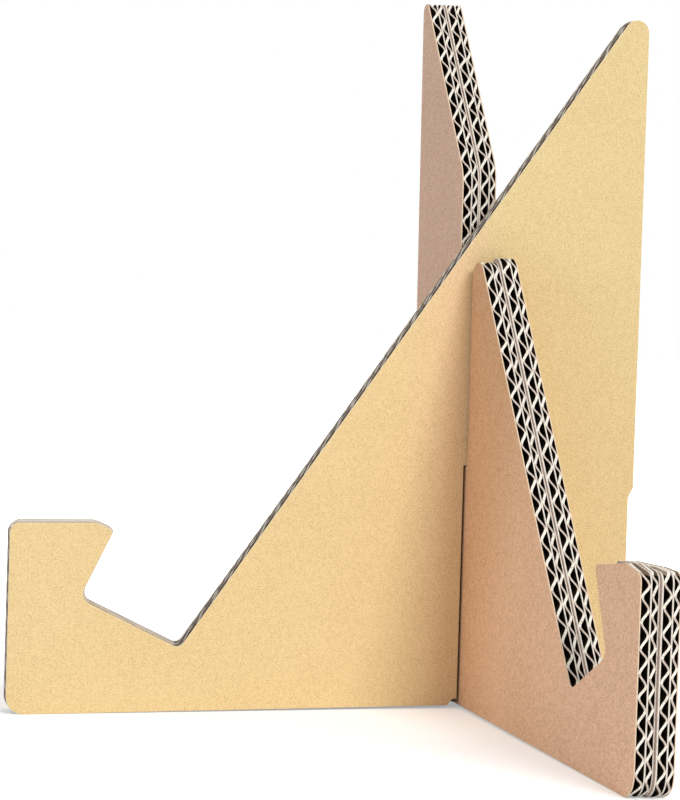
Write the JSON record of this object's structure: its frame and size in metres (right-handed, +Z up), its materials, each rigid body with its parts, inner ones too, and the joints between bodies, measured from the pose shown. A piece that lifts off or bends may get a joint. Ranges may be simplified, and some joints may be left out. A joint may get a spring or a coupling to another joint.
{
  "type": "cardboard display stand",
  "caption": "Display stand of two hooked triangular panels of glued double-wall cardboard, slotted into a cross, whose notches hold a leaning object.",
  "frame": {"origin": "on the floor, at the middle of the footprint's bounding box", "axes": "+Z up, +X along the left panel from its hook to its upright back, +Y close to the right panel's run from its hook to its back"},
  "size_m": [0.2378, 0.2396, 0.2683],
  "materials": {
    "liner": "matte kraft paper with fine fibres",
    "fluting": "matte, pale at the cut edges"
  },
  "bodies": {
    "root": {"left_first_board_front_liner": "liner", "left_first_board_wide_fluting": "fluting", "left_first_board_middle_liner": "liner", "left_first_board_narrow_fluting": "fluting", "left_first_board_back_liner": "liner", "left_second_board_front_liner": "liner", "left_second_board_wide_fluting": "fluting", "left_second_board_middle_liner": "liner", "left_second_board_narrow_fluting": "fluting", "left_second_board_back_liner": "liner", "right_first_board_front_liner": "liner", "right_first_board_wide_fluting": "fluting", "right_first_board_middle_liner": "liner", "right_first_board_narrow_fluting": "fluting", "right_first_board_back_liner": "liner", "right_second_board_front_liner": "liner", "right_second_board_wide_fluting": "fluting", "right_second_board_middle_liner": "liner", "right_second_board_narrow_fluting": "fluting", "right_second_board_back_liner": "liner"}
  },
  "joints": []
}
